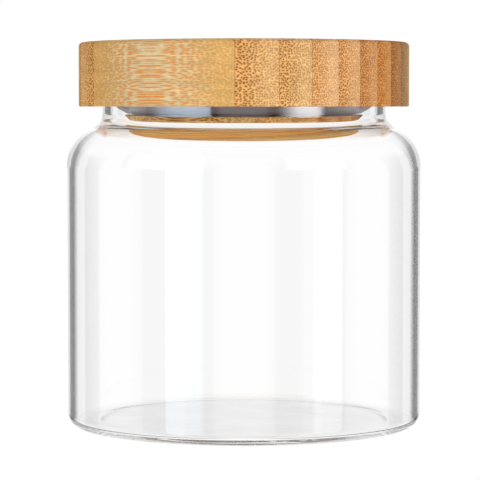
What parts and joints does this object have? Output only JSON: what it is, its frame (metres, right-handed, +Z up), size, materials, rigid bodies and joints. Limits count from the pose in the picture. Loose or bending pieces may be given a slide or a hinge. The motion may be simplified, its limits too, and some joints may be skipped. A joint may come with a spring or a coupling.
{
  "type": "lidded glass canister",
  "caption": "Round glass storage canister with a narrower neck and a push-in laminated bamboo lid that seals with a silicone ring.",
  "frame": {"origin": "centre of the jar's foot, on the surface that the canister stands on", "axes": "+Z up along the canister's axis; the bamboo strips of the lid run along the direction 32.5 degrees clockwise from +X, seen from above"},
  "size_m": [0.1, 0.1, 0.1082],
  "materials": {
    "clear_glass": "clear, smooth borosilicate",
    "bamboo_golden": "satin, turned and sanded bamboo strip, golden",
    "bamboo_amber": "satin, turned and sanded bamboo strip, amber",
    "bamboo_rose": "satin, turned and sanded bamboo strip, slightly red",
    "silicone": "smooth translucent grey silicone"
  },
  "bodies": {
    "jar": {"glass_jar": "clear_glass"},
    "seal": {"seal_ring": "silicone"},
    "lid": {"lid_stave_01": "bamboo_golden", "lid_stave_02": "bamboo_amber", "lid_stave_03": "bamboo_golden", "lid_stave_04": "bamboo_rose", "lid_stave_05": "bamboo_amber", "lid_stave_06": "bamboo_rose", "lid_stave_07": "bamboo_amber", "lid_stave_08": "bamboo_rose", "lid_stave_09": "bamboo_golden", "lid_stave_10": "bamboo_amber", "lid_stave_11": "bamboo_golden", "lid_stave_12": "bamboo_rose", "lid_stave_13": "bamboo_amber", "lid_stave_14": "bamboo_golden"}
  },
  "joints": [
    {"name": "lid_lift", "type": "slide", "parent": "jar", "child": "seal", "axis": [0, 0, 1], "range_m": [0, 0.06]},
    {"name": "lid_twist", "type": "hinge", "parent": "seal", "child": "lid", "pos_m": [0, 0, 0.0902], "axis": [0, 0, 1], "continuous": true}
  ]
}
